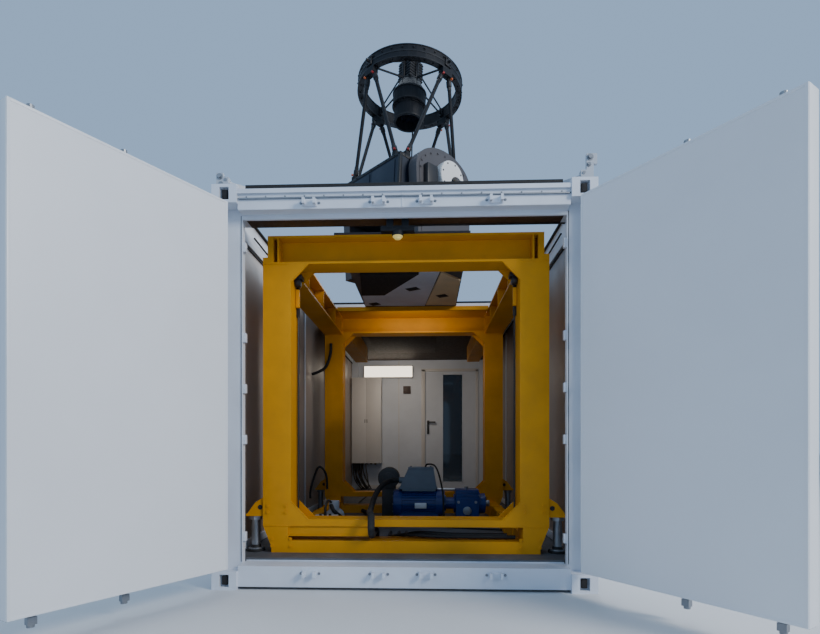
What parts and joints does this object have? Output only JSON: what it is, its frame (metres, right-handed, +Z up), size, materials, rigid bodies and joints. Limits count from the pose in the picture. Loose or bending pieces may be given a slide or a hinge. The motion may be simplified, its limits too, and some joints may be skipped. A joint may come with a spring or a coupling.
{
  "type": "container observatory",
  "caption": "Transportable container observatory: steel container with swung-out cargo doors, yellow frame inside and a truss telescope raised through the open roof bay.",
  "frame": {"origin": "middle of the footprint on the ground, with the cargo doors as they stand open", "axes": "+Z up, +Y from the cargo doors towards the personnel door, +X to the right as seen from the cargo doors"},
  "size_m": [3.557, 7.1642, 4.4203],
  "materials": {
    "shell_white": "satin, light grey-white",
    "door_white": "satin, smooth",
    "floor_grey": "matt, worn",
    "frame_yellow": "semi-gloss",
    "bar_steel": "galvanised",
    "bracket_grey": "satin",
    "seal_rubber": "matt",
    "telescope_black": "satin",
    "mount_grey": "satin",
    "drive_white": "satin",
    "motor_blue": "semi-gloss",
    "box_grey": "satin",
    "cabinet_white": "satin",
    "pane": "clear, dark",
    "handle_black": "matt",
    "lamp_panel": "lit diffuser"
  },
  "bodies": {
    "station": {"door_header": "shell_white", "door_sill": "shell_white", "rear_roof": "shell_white", "end_wall_left": "shell_white", "end_wall_right": "shell_white", "end_wall_over_door": "shell_white", "left_front_post": "shell_white", "left_rear_post": "shell_white", "left_side_wall": "shell_white", "left_top_rail": "shell_white", "right_front_post": "shell_white", "right_rear_post": "shell_white", "right_side_wall": "shell_white", "right_top_rail": "shell_white", "floor": "floor_grey", "front_portal": "frame_yellow", "rear_portal": "frame_yellow", "left_frame_top_beam": "frame_yellow", "left_frame_bottom_beam": "frame_yellow", "left_ceiling_beam": "frame_yellow", "right_frame_top_beam": "frame_yellow", "right_frame_bottom_beam": "frame_yellow", "right_ceiling_beam": "frame_yellow", "azimuth_ring": "bar_steel", "left_front_jack": "bar_steel", "left_rear_jack": "bar_steel", "right_front_jack": "bar_steel", "right_rear_jack": "bar_steel", "left_roof_bracket": "bracket_grey", "right_roof_bracket": "bracket_grey", "pump": "bracket_grey", "header_bracket": "seal_rubber", "bay_seal": "seal_rubber", "conduit": "seal_rubber", "mount_plate": "mount_grey", "motor": "motor_blue", "gearbox": "motor_blue", "terminal_box": "box_grey", "wall_cabinet": "cabinet_white", "control_box": "cabinet_white", "end_lamp": "lamp_panel"},
    "left_door": {"left_cargo_door": "door_white", "left_inner_lock_bar": "bar_steel", "left_outer_lock_bar": "bar_steel"},
    "right_door": {"right_cargo_door": "door_white", "right_inner_lock_bar": "bar_steel", "right_outer_lock_bar": "bar_steel"},
    "rear_entry": {"entry_door": "shell_white", "entry_glass": "pane", "entry_handle": "handle_black"},
    "mount": {"fork": "mount_grey", "drive_cover": "drive_white"},
    "tube": {"mirror_box": "telescope_black", "top_ring": "telescope_black", "spider_and_camera": "telescope_black", "truss_pair_1": "telescope_black", "truss_pair_2": "telescope_black", "truss_pair_3": "telescope_black", "truss_pair_4": "telescope_black"}
  },
  "joints": [
    {"name": "left_door_hinge", "type": "hinge", "parent": "station", "child": "left_door", "pos_m": [-1.21948, -2.50387, 1.29], "axis": [0, 0, -1], "range_deg": [-120, 78]},
    {"name": "right_door_hinge", "type": "hinge", "parent": "station", "child": "right_door", "pos_m": [1.14052, -2.50387, 1.29], "axis": [0, 0, 1], "range_deg": [-124.5, 73.5]},
    {"name": "rear_entry_hinge", "type": "hinge", "parent": "station", "child": "rear_entry", "pos_m": [0.97652, 3.55613, 1.22], "axis": [0, 0, -1], "range_deg": [0, 105]},
    {"name": "azimuth", "type": "hinge", "parent": "station", "child": "mount", "pos_m": [-0.08448, -1.02588, 2.446], "axis": [0, 0, 1], "range_deg": [-180, 180]},
    {"name": "altitude", "type": "hinge", "parent": "mount", "child": "tube", "pos_m": [-0.08448, -1.02588, 3.16], "axis": [-0.7071, 0.7071, 0], "range_deg": [-85, 5]}
  ]
}
